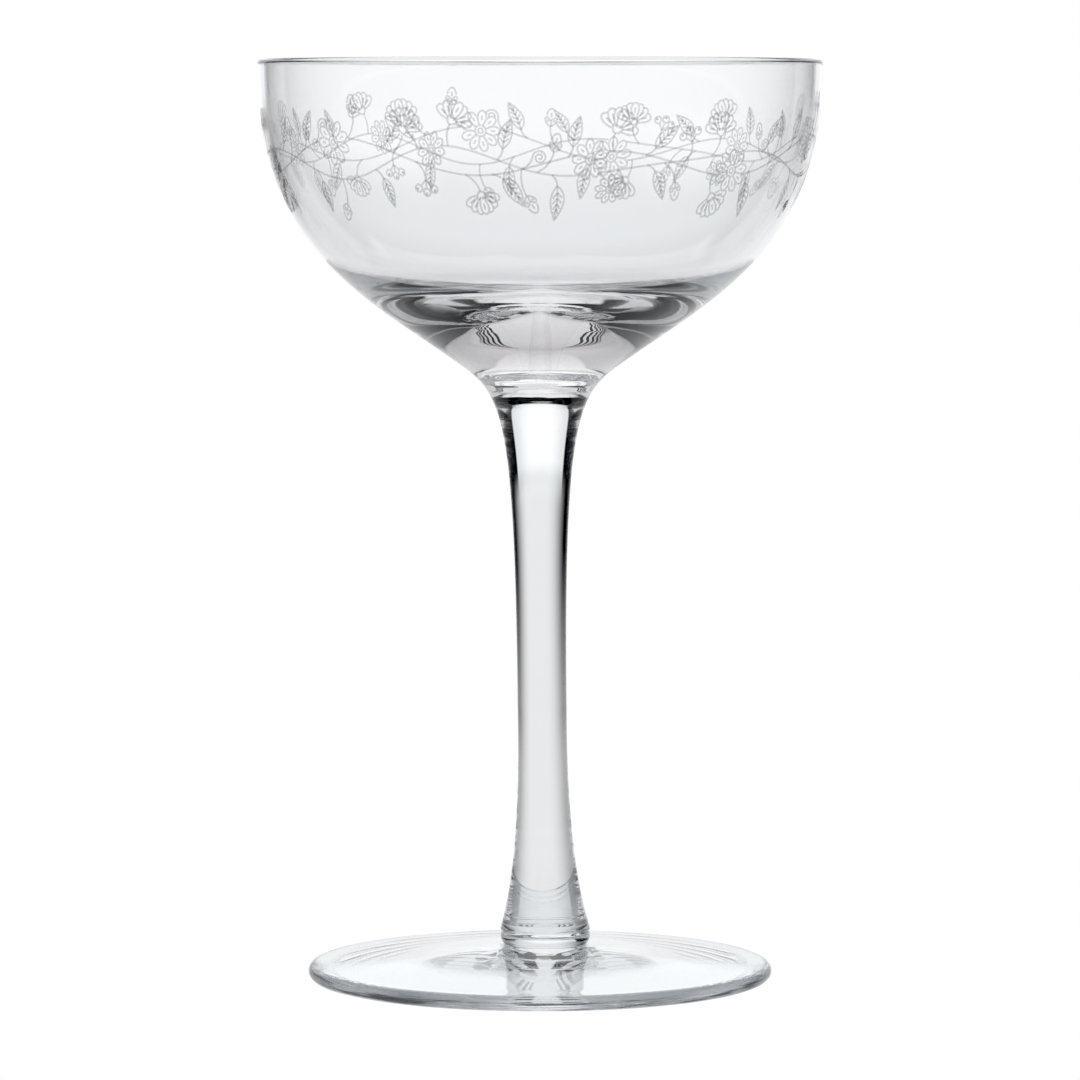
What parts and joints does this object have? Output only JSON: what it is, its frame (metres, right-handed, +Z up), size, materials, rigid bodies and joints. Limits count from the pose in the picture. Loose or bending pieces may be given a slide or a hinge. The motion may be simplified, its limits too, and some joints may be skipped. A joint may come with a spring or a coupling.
{
  "type": "coupe glass",
  "caption": "Stemmed coupe glass with a wide shallow bowl, a slim drawn stem flaring at both ends and a round flat foot.",
  "frame": {"origin": "centre of the foot on the ground plane that the glass stands on", "axes": "+Z up along the axis of the glass, +X to the right and +Y away from the viewer in the picture"},
  "size_m": [0.095, 0.095, 0.1555],
  "materials": {
    "clear_glass": "fire-polished colourless glass, faintly cool in the thick parts",
    "etched_frost": "matt grey-white etched line on the outside of the bowl"
  },
  "bodies": {
    "root": {"bowl": "clear_glass", "stem": "clear_glass", "foot": "clear_glass"}
  },
  "joints": []
}
